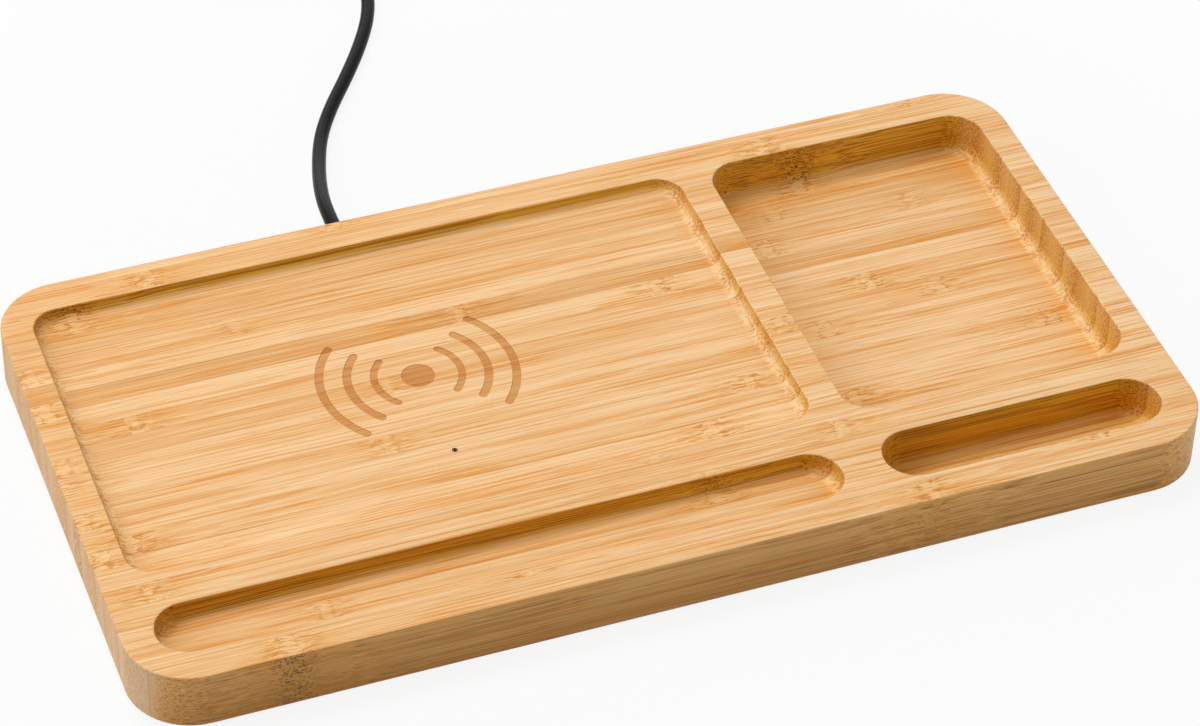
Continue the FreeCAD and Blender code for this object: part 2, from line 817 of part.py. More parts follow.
def main():
    os.makedirs("parts", exist_ok=True)
    save("bamboo_body", bamboo_body())
    save("bottom_cover", bottom_cover())
    save("cover_screws", *[cover_screw(place) for place in cover_screw_places()])
    for name, place in foot_places().items():
        save(name, foot(place))

    save("circuit_board", circuit_board())
    board_screw_end = circuit_top + board_screw_bite
    save("board_screws", *[
        pan_screw(place, circuit_bottom, board_screw_diameter, board_screw_head, board_screw_head_height,
                  board_screw_end)
        for place in board_screw_places()
    ])
    save("controller_chip", under_circuit(chip_size, (0, 0)))
    save("bridge_transistors", *[under_circuit(transistor_size, place) for place in transistor_places])
    save("resonant_capacitors", *[under_circuit(resonant_size, place) for place in resonant_places])
    save("input_capacitors", *[under_circuit(input_size, place) for place in input_places])
    save("power_inductor", power_inductor())
    save("indicator_led", indicator_led())
    save("light_pipe", light_pipe())

    save("foam_pad", holed_disc(ferrite_radius, ferrite_hole_radius, circuit_top, foam_top))
    save("ferrite_plate", holed_disc(ferrite_radius, ferrite_hole_radius, foam_top, ferrite_top))
    coil, inner_end, outer_end = charging_coil()
    save("charging_coil", coil)
    save("coil_leads", *coil_leads(inner_end, outer_end))

    save("strain_relief", strain_relief())
    save("cable_lead_in", cable_lead_in())
    save("cable_clamp", cable_clamp())
    save("clamp_screws", *[
        pan_screw(place, clamp_bottom, clamp_screw_diameter, clamp_screw_head, clamp_screw_head_height,
                  bay_low_ceiling + clamp_screw_bite)
        for place in clamp_screw_places()
    ])
    save("supply_wire_red", supply_core(-1, "supply_wire_red"))
    save("supply_wire_black", supply_core(1, "supply_wire_black"))

    free_path = rounded_path(free_run_points(), "cable_free_run")
    save("cable_free_run", tube(free_path, cable_diameter, "cable_free_run"))
    wound, coil_end = cable_coil()
    save("cable_coil", wound)
    save("cable_tie", cable_tie())
    tail_points = route(tail_steps, coil_end, {"upper": coil_upper_axis, "plug": plug_axis})
    tail_path = rounded_path(tail_points, "cable_tail")
    save("cable_tail", tube(tail_path, cable_diameter, "cable_tail"))
    overmould, shell, insulator, contacts = plug(tail_points[-1])
    save("plug_overmould", overmould)
    save("plug_shell", shell)
    save("plug_insulator", insulator)
    save("plug_contacts", *contacts)


main()
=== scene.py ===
import math

import bmesh
import bpy
from mathutils import Matrix, Vector


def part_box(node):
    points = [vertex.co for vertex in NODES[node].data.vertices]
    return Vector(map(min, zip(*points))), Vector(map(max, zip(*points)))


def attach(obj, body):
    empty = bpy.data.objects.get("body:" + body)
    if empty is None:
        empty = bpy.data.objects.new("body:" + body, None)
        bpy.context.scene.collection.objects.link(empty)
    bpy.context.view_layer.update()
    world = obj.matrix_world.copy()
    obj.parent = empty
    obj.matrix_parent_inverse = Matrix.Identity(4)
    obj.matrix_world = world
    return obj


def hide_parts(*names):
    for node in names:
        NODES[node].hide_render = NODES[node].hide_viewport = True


bl_info = {
    "name": "Bamboo Charging Organizer",
    "version": (1, 0, 0),
    "blender": (4, 5, 0),
    "location": "3D View > Sidebar > Organizer",
    "description": "Dresses a bamboo charging organizer and sets up its studio stage",
    "category": "Object",
}

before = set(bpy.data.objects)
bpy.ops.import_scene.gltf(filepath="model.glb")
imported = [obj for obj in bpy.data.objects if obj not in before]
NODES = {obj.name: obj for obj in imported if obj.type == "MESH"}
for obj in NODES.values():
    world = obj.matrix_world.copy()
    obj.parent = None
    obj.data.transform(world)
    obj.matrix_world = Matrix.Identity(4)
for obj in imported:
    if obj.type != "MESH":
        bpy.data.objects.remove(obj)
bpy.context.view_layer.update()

BODY = "root"
MM = 0.001

# Laminated strips from the front face to the rear: tone from pale 0 to dark 1, the places of the strip's
# two growth knuckles, in millimetres from the board's middle, and how strongly these show
STRIPS = (
    (0.40, -110, 66, 0.9),
    (0.40, -45, 118, 0.9),
    (0.30, -96, 92, 0.5),
    (0.45, -172, 14, 0.6),
    (0.35, -138, 53, 0.7),
    (0.30, -190, 2, 0.3),
    (0.05, -147, 22, 0.8),
    (0.35, -137, 67, 1.0),
    (0.15, -148, 38, 0.7),
    (0.40, -62, 133, 0.7),
    (0.15, -152, 54, 0.6),
    (0.25, -147, 71, 0.6),
    (0.60, -55, 108, 0.6),
    (0.50, -124, 90, 0.9),
    (0.06, -146, 29, 0.7),
    (1.00, -27, 160, 0.8),
    (0.15, -147, 68, 0.6),
    (0.55, -88, 116, 0.4),
    (0.68, -190, 75, 0.5),
    (0.50, -129, 87, 0.9),
    (0.50, -106, 77, 0.8),
    (0.40, -50, 128, 0.6),
)

# The cable's points in metres, from the boot's tip to the straight end before the coil
FREE_RUN = (
    (-0.0466, 0.0880, 0.00815),
    (-0.0466, 0.0970, 0.00815),
    (-0.0447, 0.1095, 0.00590),
    (-0.0409, 0.1240, 0.00320),
    (-0.0360, 0.1380, 0.00210),
    (-0.0290, 0.1503, 0.00210),
    (-0.0200, 0.1632, 0.00210),
    (-0.0117, 0.1763, 0.00210),
    (-0.0050, 0.1890, 0.00210),
    (-0.0010, 0.2015, 0.00210),
    (0.0008, 0.2155, 0.00210),
    (0.0020, 0.2305, 0.00310),
    (0.0020, 0.2450, 0.00310),
)

# The cable's last stretch as steps in metres from the coil's end, with the height of its axis
TAIL_STEPS = (
    (-0.0100, 0.0000, 0.00790),
    (-0.0220, -0.0009, 0.00590),
    (-0.0335, -0.0020, 0.00400),
    (-0.0440, -0.0020, 0.00400),
)

# Studio lamps, each aimed at the board's middle: name, place and size in metres, power in watts
LAMPS = (
    ("overhead lamp", (-0.30, 0.46, 1.50), (0.75, 0.75), 15.0),
    ("rear card", (0.25, 1.15, 0.55), (1.4, 0.7), 4.0),
    ("left card", (-1.30, 0.10, 0.50), (1.2, 0.8), 4.6),
    ("left softbox", (-1.00, 0.10, 1.00), (0.6, 0.6), 4.0),
    ("front card", (0.55, -0.42, 0.30), (0.5, 0.4), 1.15),
)


def length(name, description, default):
    """A size in metres that a user may change."""
    return bpy.props.FloatProperty(name=name, description=description, default=default, unit="LENGTH",
                                   min=0.0, precision=5)


def share(name, description, default, top=1.0):
    """A plain number from 0 to a top value."""
    return bpy.props.FloatProperty(name=name, description=description, default=default, min=0.0, max=top)


def angle(name, description, default):
    """An angle given in degrees."""
    return bpy.props.FloatProperty(name=name, description=description, default=math.radians(default),
                                   subtype="ANGLE")


def colour(name, description, default):
    """A linear colour."""
    return bpy.props.FloatVectorProperty(name=name, description=description, default=default, size=3,
                                         subtype="COLOR", min=0.0, max=1.0)


class BambooSettings(bpy.types.PropertyGroup):
    """Sizes and colours of the laminated bamboo."""
    strip_width: length("Strip width", "Width of one laminated strip", 0.00745)
    knuckle_reach: length("Knuckle reach", "Half length of a growth knuckle along its strip", 0.0035)
    # Painted shade: how far from a wall corners and coves are darkened
    corner_shade_reach: length("Corner shade reach", "How far a wall deepens the colour of the wood near it", 0.025)
    pale: colour("Pale strip", "Ground colour of the palest strip", (0.95, 0.65, 0.355))
    tan: colour("Tan strip", "Ground colour of the darkest strip", (0.80, 0.43, 0.155))
    fibre: colour("Fibre", "Colour of the fibre threads", (0.74, 0.285, 0.030))
    vein: colour("Vein", "Colour of dark veins and of sawn fibre bundles", (0.38, 0.16, 0.04))
    pinhole: colour("Pinhole", "Colour of a knuckle's pinholes on a flat face", (0.13, 0.055, 0.014))
    knuckle: colour("Knuckle", "Colour of the short lines of a knuckle", (0.64, 0.235, 0.025))
    highlight: colour("Highlight", "Colour of the pale bar of a knuckle", (0.96, 0.67, 0.36))
    glow: colour("Knuckle glow", "Tint of the wood round a knuckle", (1.0, 0.95, 0.74))
    glue: colour("Glue line", "Colour of the thin lines between strips", (0.60, 0.225, 0.024))
    # The front and rear faces' own flat-grain colour, with painted shade in its low blue
    flat_grain_and_shade_tint: colour("Flat grain and shade tint", "Tint of the board's front and rear faces", (0.99, 0.91, 0.61))
    # Painted shade towards the foot of the front and rear faces
    foot_shade_tint: colour("Foot shade tint", "Tint of these faces towards their foot", (0.84, 0.78, 0.66))
    end_tint: colour("End tint", "Tint of the sawn end grain", (0.82, 0.84, 0.93))
    # Painted shade of the pocket walls, along the strips and across them
    wall_shade_tint: colour("Wall shade tint", "Tint of the pocket walls along the strips", (0.91, 0.84, 0.19))
    wall_end_shade_tint: colour("Wall end shade tint", "Tint of the pocket walls across the strips", (0.83, 0.75, 0.48))
    # Painted shade deep in corners and coves
    corner_shade_tint: colour("Corner shade tint", "Tint of the wood deep in corners and coves", (0.92, 0.82, 0.28))
    burn: colour("Burn", "Tint of the engraved symbol", (0.74, 0.55, 0.31))
    roughness: share("Roughness", "Roughness of the oiled surface", 0.50)


class CableSettings(bpy.types.PropertyGroup):
    """Sizes and colours of the supply cable, its tie and its plug."""
    diameter: length("Cable diameter", "Outer diameter of the jacket", 0.0042)
    turn_pitch: length("Turn pitch", "Distance between neighbouring turns of the coil", 0.0048)
    inner_turn: length("Inner turn", "Radius of the innermost turn", 0.0174)
    lower_axis: length("Lower axis", "Height of the lower layer's axis", 0.0031)
    tie_width: length("Tie width", "Width of the hook-and-loop tie", 0.008)
    tie_thickness: length("Tie thickness", "Thickness of the tie's band", 0.0008)
    tie_angle: angle("Tie angle", "Where on the coil the tie sits", 205.0)
    neck_length: length("Neck length", "Length of the plug's bend relief", 0.007)
    jacket: colour("Jacket", "Colour of the cable's jacket", (0.0055, 0.0050, 0.0052))
    rubber: colour("Rubber", "Colour of the grommet and feet", (0.016, 0.016, 0.017))
    webbing: colour("Webbing", "Colour of the tie", (0.014, 0.014, 0.016))


class StageSettings(bpy.types.PropertyGroup):
    """Camera, floor and surroundings."""
    azimuth: angle("Azimuth", "Direction of the camera round the board", -20.9755)
    elevation: angle("Elevation", "Height of the camera above the horizon", 41.6116)
    roll: angle("Roll", "Turn of the camera about its own axis", 1.3927)
    distance: length("Distance", "Distance of the camera from its aim", 1.17009)
    aim: bpy.props.FloatVectorProperty(name="Aim", description="Point that the camera looks at",
                                       default=(0.00797, 0.01721, 0.0015), size=3, subtype="TRANSLATION")
    lens: bpy.props.FloatProperty(name="Lens", description="Focal length on a 36 mm wide sensor",
                                  default=126.01, unit="CAMERA")
    floor: colour("Floor", "Colour of the floor", (0.80, 0.80, 0.80))
    sky: share("Sky", "Strength of the even light from all round", 0.06, 10.0)


class OrganizerSettings(bpy.types.PropertyGroup):
    """All settings of the organizer."""
    bamboo: bpy.props.PointerProperty(type=BambooSettings)
    cable: bpy.props.PointerProperty(type=CableSettings)
    stage: bpy.props.PointerProperty(type=StageSettings)


class Wire:
    """A shader socket; arithmetic on it adds Math nodes."""

    def __init__(self, shade, socket):
        self.shade = shade
        self.socket = socket

    def __add__(self, other):
        return self.shade.math("ADD", self, other)

    def __sub__(self, other):
        return self.shade.math("SUBTRACT", self, other)

    def __rsub__(self, other):
        return self.shade.math("SUBTRACT", other, self)

    def __mul__(self, other):
        return self.shade.math("MULTIPLY", self, other)

    def __truediv__(self, other):
        return self.shade.math("DIVIDE", self, other)

    def __rtruediv__(self, other):
        return self.shade.math("DIVIDE", other, self)

    def __lt__(self, other):
        return self.shade.math("LESS_THAN", self, other)

    def __gt__(self, other):
        return self.shade.math("GREATER_THAN", self, other)

    def __abs__(self):
        return self.shade.math("ABSOLUTE", self)

    def __neg__(self):
        return self.shade.math("MULTIPLY", self, -1.0)

    __radd__ = __add__
    __rmul__ = __mul__


class Shade:
    """The nodes of a material or of the world, put together one by one."""

    def __init__(self, owner):
        self.owner = owner
        owner.use_nodes = True
        self.tree = owner.node_tree
        self.tree.nodes.clear()

    def node(self, kind, settings, sockets, outlet=0):
        """Add a node: its settings first, then a value or a wire for each socket."""
        made = self.tree.nodes.new("ShaderNode" + kind)
        for name, value in settings.items():
            if name == "stops":
                self.set_stops(made.color_ramp, value)
            elif name == "step":
                made.color_ramp.interpolation = value
            else:
                setattr(made, name, value)
        for name, value in sockets.items():
            if isinstance(value, Wire):
                self.tree.links.new(value.socket, made.inputs[name])
            else:
                made.inputs[name].default_value = value
        return Wire(self, made.outputs[outlet]) if made.outputs else None

    def set_stops(self, ramp, stops):
        while len(ramp.elements) < len(stops):
            ramp.elements.new(1.0)
        for element, (position, value) in zip(ramp.elements, stops):
            element.position = position
            element.color = value

    def math(self, operation, *values):
        return self.node("Math", {"operation": operation}, dict(enumerate(values)))

    def smooth(self, value, low, high):
        """0 up to low, 1 from high on and an even rise between; with low above high, the other way round."""
        sockets = {"Value": value, "From Min": low, "From Max": high}
        return self.node("MapRange", {"interpolation_type": "SMOOTHSTEP"}, sockets)

    def bell(self, value, reach):
        """1 where the value is 0, falling off over the reach on both sides."""
        ratio = value / reach
        return self.math("EXPONENT", -(ratio * ratio))

    def vector(self, x, y, z):
        return self.node("CombineXYZ", {}, {"X": x, "Y": y, "Z": z})

    def split(self, vector):
        return [self.node("SeparateXYZ", {}, {0: vector}, axis) for axis in ("X", "Y", "Z")]

    def millimetres(self, middle=(0.0, 0.0, 0.0), turn=0.0):
        """Object coordinates in millimetres, as three wires, from a middle and turned about Z."""
        place = self.node("TexCoord", {}, {}, "Object")
        if turn:
            sockets = {"Vector": place, "Location": middle, "Rotation": (0.0, 0.0, turn)}
            place = self.node("Mapping", {"vector_type": "TEXTURE"}, sockets)
        scaled = self.node("VectorMath", {"operation": "SCALE"}, {0: place, "Scale": 1 / MM})
        return self.split(scaled)

    def facing(self):
        """The surface's direction, as three wires."""
        return self.split(self.node("NewGeometry", {}, {}, "Normal"))

    def edges(self, reach):
        """1 along sharp edges, where a normal rounded over the reach leans away from the true one."""
        true = self.node("NewGeometry", {}, {}, "Normal")
        rounded = self.node("Bevel", {"samples": 4}, {"Radius": reach})
        alike = self.node("VectorMath", {"operation": "DOT_PRODUCT"}, {0: rounded, 1: true}, "Value")
        return self.smooth(alike, 0.985, 0.85)

    def noise(self, place, scale=1.0, detail=2.0, roughness=0.5):
        sockets = {"Vector": place, "Scale": scale, "Detail": detail, "Roughness": roughness}
        return self.node("TexNoise", {}, sockets, "Fac")

    def cells(self, place, scale=1.0):
        """Distance to the nearest of many scattered points."""
        return self.node("TexVoronoi", {}, {"Vector": place, "Scale": scale}, "Distance")

    def chance(self, value, seed):
        """An even random number for each whole value."""
        return self.node("TexWhiteNoise", {"noise_dimensions": "1D"}, {"W": value + seed}, "Value")

    def blend(self, amount, first, second, how="MIX"):
        """Colours mixed by an amount."""
        colours = [c if isinstance(c, Wire) else (*c, 1.0) for c in (first, second)]
        settings = {"data_type": "RGBA", "blend_type": how}
        return self.node("Mix", settings, {0: amount, 6: colours[0], 7: colours[1]}, 2)

    def tint(self, amount, coloured, tone):
        """A colour multiplied by a tone where the amount is 1."""
        return self.blend(amount, coloured, tone, "MULTIPLY")

    def bump(self, height, depth):
        """Normal of a surface raised by a height from 0 to 1 over a depth in metres."""
        return self.node("Bump", {}, {"Height": height, "Distance": depth, "Strength": 1.0})

    def watched(self):
        """1 for rays that see the scene directly, in a mirror or through something clear."""
        kinds = ("Camera", "Glossy", "Transmission")
        seen, mirrored, through = [self.node("LightPath", {}, {}, f"Is {kind} Ray") for kind in kinds]
        return self.math("MAXIMUM", self.math("MAXIMUM", seen, mirrored), through)

    def finish(self, **sockets):
        """Close a material with a principled surface; socket names are written with underscores."""
        named = {name.replace("_", " "): value for name, value in sockets.items()}
        self.node("OutputMaterial", {}, {"Surface": self.node("BsdfPrincipled", {}, named)})
        return self.owner


def new_shade(name):
    return Shade(bpy.data.materials.new(name))


class Bamboo:
    """Oiled laminated bamboo: strips along X, fibre threads, growth knuckles and the burnt symbol.

    Lengths are in millimetres. Skin is how deep under a wall its strip is looked up, and rim is the width
    of the border that no pocket reaches.
    """
    skin = 0.6
    rim = 8.2
    tray_depth = 4.0
    symbol_reach = 30.0
    engraving_depth = 0.15

    def __init__(self, settings):
        self.settings = settings
        self.shade = new_shade("Bamboo")
        self.x, self.y, self.z = self.shade.millimetres()
        self.low, self.high = [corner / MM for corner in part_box("bamboo_body")]
        self.facing = self.shade.facing()
        self.flat_face = self.shade.smooth(abs(self.facing[1]), 0.5, 0.9)
        self.end_grain = self.shade.smooth(abs(self.facing[0]), 0.06, 0.6) * (1.0 - self.flat_face)
        self.inner = (abs(self.x) < self.high.x - self.rim) * (abs(self.y) < self.high.y - self.rim)
        self.find_strip()
        self.find_knuckle()
        self.bend_fibres()

    def find_strip(self):
        """Which strip the surface shows, clear of seams in walls, and the strip's tone and knuckles."""
        shade = self.shade
        width = self.settings.strip_width / MM
        under = self.facing[1] * self.skin * (1.0 - self.inner * 2.0)
        strip = (self.y - under - self.low.y) / width
        self.index = shade.math("FLOOR", strip)
        self.across = strip - self.index
        self.seam = shade.math("ROUND", strip)
        self.to_seam = abs(strip - self.seam) * width
        # Twice the board's length, so that a knuckle beyond an end still lies between 0 and 1
        span = 2 * (self.high.x - self.low.x)
        stops = [
            (k / len(STRIPS), (tone, 0.5 + first / span, 0.5 + second / span, boldness))
            for k, (tone, first, second, boldness) in enumerate(STRIPS)
        ]
        ramp = {"stops": stops, "step": "CONSTANT"}
        middle = (self.index + 0.5) / len(STRIPS)
        chosen = shade.node("ValToRGB", ramp, {"Fac": middle})
        self.boldness = shade.node("ValToRGB", ramp, {"Fac": middle}, "Alpha")
        tone, first, second = [shade.node("SeparateColor", {}, {0: chosen}, k) for k in range(3)]
        # Strips get paler towards the right, the darkest ones most
        fade_start, fade_end = -60.0, 140.0
        loss = 0.2 + shade.smooth(tone, 0.7, 1.0) * 0.15
        self.tone = tone * (1.0 - shade.smooth(self.x, fade_start, fade_end) * loss)
        self.first = (first - 0.5) * span
        self.second = (second - 0.5) * span
        self.seed = self.index * 5.3
        flipped = shade.chance(self.index, 3.7) > 0.5
        self.rind = self.across + flipped * (1.0 - self.across * 2.0)

    def find_knuckle(self):
        """Signed distance along the strip to the nearer of its two ragged knuckles."""
        shade = self.shade
        raggedness = 5.0
        rough_line = shade.noise(shade.vector(self.x * 0.1, self.y * 0.45, self.z * 0.45)) - 0.5
        ragged = rough_line * raggedness
        from_first = self.x - self.first
        from_second = self.x - self.second
        self.at_first = abs(from_first) < abs(from_second)
        self.past = from_second + self.at_first * (from_first - from_second) + ragged
        self.reach = self.settings.knuckle_reach / MM
        self.core = shade.bell(self.past, self.reach) * self.boldness
        self.skirt = shade.bell(self.past, 3.6 * self.reach) * self.boldness

    def bend_fibres(self):
        """Fibres wander slowly, and waver and fan out where they meet a knuckle."""
        shade = self.shade
        own_y = self.y * 0.11 + self.index * 7.0
        wander = shade.noise(shade.vector(self.x * 0.018, own_y, self.z * 0.11)) - 0.5
        waver = shade.noise(shade.vector(self.x * 0.12, self.y * 0.28, self.z * 0.28)) - 0.5
        fan = (self.across - 0.5) * abs(self.past) * self.skirt
        shift = wander * 1.1 + waver * (self.core * 2.8 + self.skirt * 1.8) + fan * 0.3
        self.fibre_y = self.y + shift
        self.fibre_z = self.z + shift * 0.8

    def grain(self, long, thick, seed=0.0, detail=3.0):
        """Noise drawn out along the fibres into patches of a length and a thickness in millimetres."""
        place = self.shade.vector(self.x / long, self.fibre_y / thick + seed, self.fibre_z / thick)
        return self.shade.noise(place, 1.0, detail, 0.6)

    def material(self):
        """The board's finish, from the ground colour up to the burnt symbol."""
        shade, settings = self.shade, self.settings
        self.flame = self.grain(38.0, 2.0, self.seed)
        self.hair = self.grain(17.0, 0.28) - 0.5
        threads = self.threads() * (1.0 - self.flat_face * 0.4)
        fibres = threads + (self.bundles() - threads) * self.end_grain
        coloured = shade.blend(shade.math("MAXIMUM", fibres, 0.0), self.ground(), settings.fibre)
        coloured = shade.blend(self.veins(), coloured, settings.vein)
        coloured = shade.blend(self.glue_lines(), coloured, settings.glue)
        coloured = self.mark_knuckles(coloured)
        # The symbol comes before the sides, which leave out what it notes as engraved
        symbol = self.symbol()
        coloured = self.tint_sides(coloured)
        coloured = shade.tint(symbol, coloured, settings.burn)
        rough = settings.roughness + self.hair * 0.25 + self.end_grain * 0.12
        ridges = shade.noise(shade.vector(self.x * 0.08, self.y * 4.0, self.z * 4.0))
        relief = ridges - self.bundle * self.end_grain * 0.6
        relief_depth = 0.000012
        return shade.finish(Base_Color=coloured, Roughness=rough, Normal=shade.bump(relief, relief_depth),
                            Specular_IOR_Level=0.3)

    def ground(self):
        """Colour between the threads: the strip's tone with slow drifts and paler streaks."""
        shade = self.shade
        paler = shade.smooth(self.grain(67.0, 0.67, -self.seed), 0.54, 0.64)
        drift = shade.noise(shade.vector(self.x * 0.011, self.seed, 0.0)) - 0.5
        tone = self.tone - (self.tone + 0.28) * self.end_grain * 0.35
        waves = (self.flame - 0.5) * (0.8 - self.flat_face * 0.5)
        paler_per_mm = 0.0006
        amount = tone * 0.85 + self.rind * 0.2 + drift * 0.5 + waves - paler * 0.5 + 0.06
        amount = shade.math("MAXIMUM", amount - self.x * paler_per_mm, 0.0)
        return shade.blend(amount, self.settings.pale, self.settings.tan)

    def threads(self):
        """Crisp threads in patches, denser towards the strip's side that was the stem's outer wall."""
        shade = self.shade
        patch = shade.smooth(self.grain(34.0, 3.2, self.seed), 0.36, 0.62)
        bold = shade.smooth(self.grain(80.0, 0.85, self.seed, 1.5), 0.54, 0.58)
        slim = shade.smooth(self.grain(60.0, 0.34, self.seed, 1.5), 0.55, 0.60)
        fleck = shade.smooth(self.grain(9.0, 0.45, -self.seed), 0.59, 0.66)
        bold = bold * (0.20 + self.rind * 0.38 + self.tone * 0.38) * (0.45 + patch * 0.75)
        slim = slim * (0.42 + self.rind * 0.26)
        fleck = fleck * (0.10 + patch * 0.30)
        warm = shade.smooth(self.flame, 0.56, 0.70) * 0.14
        return bold + slim + fleck + self.hair * 0.8 + warm + self.skirt * 0.10

    def bundles(self):
        """Sawn ends of the fibre bundles, as dots that crowd towards the stem's outer wall.

        In pocket walls the dots are wider and closer, and the two sides of a strip differ more.
        """
        shade = self.shade
        place = shade.vector(self.fibre_y, self.fibre_z, 0.0)
        dots_per_mm = 1.05 + self.inner * 0.10
        sockets = {"Vector": place, "Scale": dots_per_mm, "Randomness": 0.75}
        centre = shade.node("TexVoronoi", {"voronoi_dimensions": "2D"}, sockets, "Distance")
        wider = self.inner * 0.05
        self.bundle = shade.smooth(centre + self.hair * 0.2 - wider, 0.44, 0.22)
        stem_side = (self.rind - 0.5) * (0.20 + self.inner * 0.45)
        return self.bundle * 0.25 + stem_side + self.hair * 0.4 - 0.04

    def veins(self):
        """Dark veins on faces along the strips, and the dark ends of the bundles on sawn faces."""
        shade = self.shade
        wide = shade.smooth(self.grain(110.0, 0.50, 31.0, 1.5), 0.56, 0.61)
        thin = shade.smooth(self.grain(90.0, 0.26, 53.0, 1.5), 0.56, 0.60)
        lines = (wide * 0.40 + thin * 0.55) * (1.0 + self.inner * 0.6)
        dots = self.bundle * (0.06 + self.rind * 0.16) * (1.0 + self.inner * 1.7)
        along_top = (1.0 - self.flat_face) * (1.0 - self.end_grain)
        dark_strip = shade.smooth(self.tone, 0.45, 1.0) * along_top
        return lines * (self.flat_face + dark_strip * 0.5) + dots * self.end_grain

    def glue_lines(self):
        """Thin lines where two strips meet, each with its own strength and fading in and out."""
        shade = self.shade
        fade = shade.noise(shade.vector(self.x * 0.02, self.seam * 3.3, 0.0))
        line = 1.0 - shade.smooth(self.to_seam, 0.06, 0.42)
        return line * shade.chance(self.seam, 11.3) * shade.smooth(fade, 0.30, 0.62) * 0.8

    def mark_knuckles(self, coloured):
        """A pale bar between short dashes in a warmer glow, or a band of pinholes on a flat face."""
        shade, settings = self.shade, self.settings
        dash = self.grain(5.5, 0.62, self.seed)
        dashes = shade.smooth(dash, 0.53, 0.57)
        bar = shade.bell(self.past, 0.9 * self.reach) * self.boldness * (1.0 - dashes) * 0.4
        gap = 1.0 - 0.6 * shade.bell(self.past, 0.35 * self.reach)
        flank = shade.bell(self.past, 2.4 * self.reach) * gap * self.boldness
        rim_place, rim_width = 2.1, 0.35
        rim = shade.bell(abs(self.past) - rim_place, rim_width)
        rim_line = rim * shade.smooth(dash, 0.36, 0.5) * self.boldness
        marks = dashes * flank * 1.25 + rim_line * 0.5
        spots = shade.cells(shade.vector(self.x * 0.9, self.y, self.z), 1.2)
        pinhole = 1.0 - shade.smooth(spots + self.hair * 0.6, 0.18, 0.46)
        seen = shade.math("MAXIMUM", self.at_first, self.inner)
        band = shade.bell(self.past, 1.5 * self.reach) * self.boldness * seen
        speckle = (pinhole + dashes * 0.35) * band
        elsewhere = 1.0 - self.flat_face
        coloured = shade.tint(self.skirt * 0.8, coloured, settings.glow)
        coloured = shade.blend(bar * elsewhere, coloured, settings.highlight)
        coloured = shade.blend(marks * elsewhere, coloured, settings.knuckle)
        return shade.blend(speckle * self.flat_face, coloured, settings.pinhole)

    def tint_sides(self, coloured):
        """The outer faces and the pocket walls differ a little from the top, partly by painted shade."""
        shade, settings = self.shade, self.settings
        outer = 1.0 - self.inner
        long_face = self.flat_face * outer
        low = shade.smooth(self.z, self.high.z, self.low.z)
        # Flat-grain colour with painted shade on the front and rear faces
        coloured = shade.tint(long_face, coloured, settings.flat_grain_and_shade_tint)
        # Painted shade: the front and rear faces darken towards their foot
        coloured = shade.tint(long_face * low, coloured, settings.foot_shade_tint)
        coloured = shade.tint(self.end_grain * outer, coloured, settings.end_tint)
        # Painted shade in corners and coves, where the occlusion finds little open sky
        sockets = {"Distance": settings.corner_shade_reach}
        open_sky = shade.node("AmbientOcclusion", {"samples": 6, "only_local": True}, sockets, "AO")
        corner_shade = shade.smooth(open_sky, 0.85, 0.30)
        # In a deep pocket the walls' painted shade starts lower down in the cove
        wall = shade.smooth(abs(self.facing[2]) - corner_shade * 0.14, 0.87, 0.42) * self.inner
        coloured = shade.tint(wall * self.end_grain, coloured, settings.wall_end_shade_tint)
        coloured = shade.tint(wall * (1.0 - self.end_grain), coloured, settings.wall_shade_tint)
        # Painted shade in the pockets' corners and coves, kept off the engraved symbol
        return shade.tint(corner_shade * self.inner * (1.0 - self.engraved), coloured, settings.corner_shade_tint)

    def symbol(self):
        """1 on the lowered floor of the engraving; the tray floor round it is noted as engraved too."""
        middle_x, middle_y = module_middle()
        aside, along = self.x - middle_x, self.y - middle_y
        near = (aside * aside + along * along) < self.symbol_reach * self.symbol_reach
        above_floor = self.z - (self.high.z - self.tray_depth)
        self.engraved = near * (above_floor < self.engraving_depth)
        lowered = (above_floor < -self.engraving_depth / 3) * (above_floor > -3 * self.engraving_depth)
        return near * lowered


def module_middle():
    """Middle of the charging module, and of the symbol over it, in millimetres."""
    low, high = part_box("circuit_board")
    radius = (high.x - low.x) / 2
    return (low.x + radius) / MM, (low.y + radius) / MM


def moulded_finish(name, base, roughness=0.5, grain=3.0, depth=0.00003, gloss=0.25):
    """Moulded plastic or rubber with an even fine grain and lighter, smoother rubbed edges."""
    shade = new_shade(name)
    place = shade.vector(*shade.millimetres())
    grains = shade.noise(place, grain, 3.0, 0.6)
    cloud = shade.noise(place, 0.12)
    edge_reach = 0.0004
    wear = shade.edges(edge_reach) * shade.smooth(shade.noise(place, 0.9), 0.38, 0.62)
    lighter = tuple(min(1.0, channel * 1.35 + 0.001) for channel in base)
    worn = tuple(min(1.0, channel * 1.5 + 0.012) for channel in base)
    ground = shade.blend(shade.smooth(cloud * 0.6 + grains * 0.4, 0.3, 0.75), base, lighter)
    ground = shade.blend(wear * 0.7, ground, worn)
    rough = roughness + (grains - 0.5) * 0.25 + (cloud - 0.5) * 0.12 - wear * 0.12
    return shade.finish(Base_Color=ground, Roughness=rough, Normal=shade.bump(grains, depth),
                        Specular_IOR_Level=gloss)


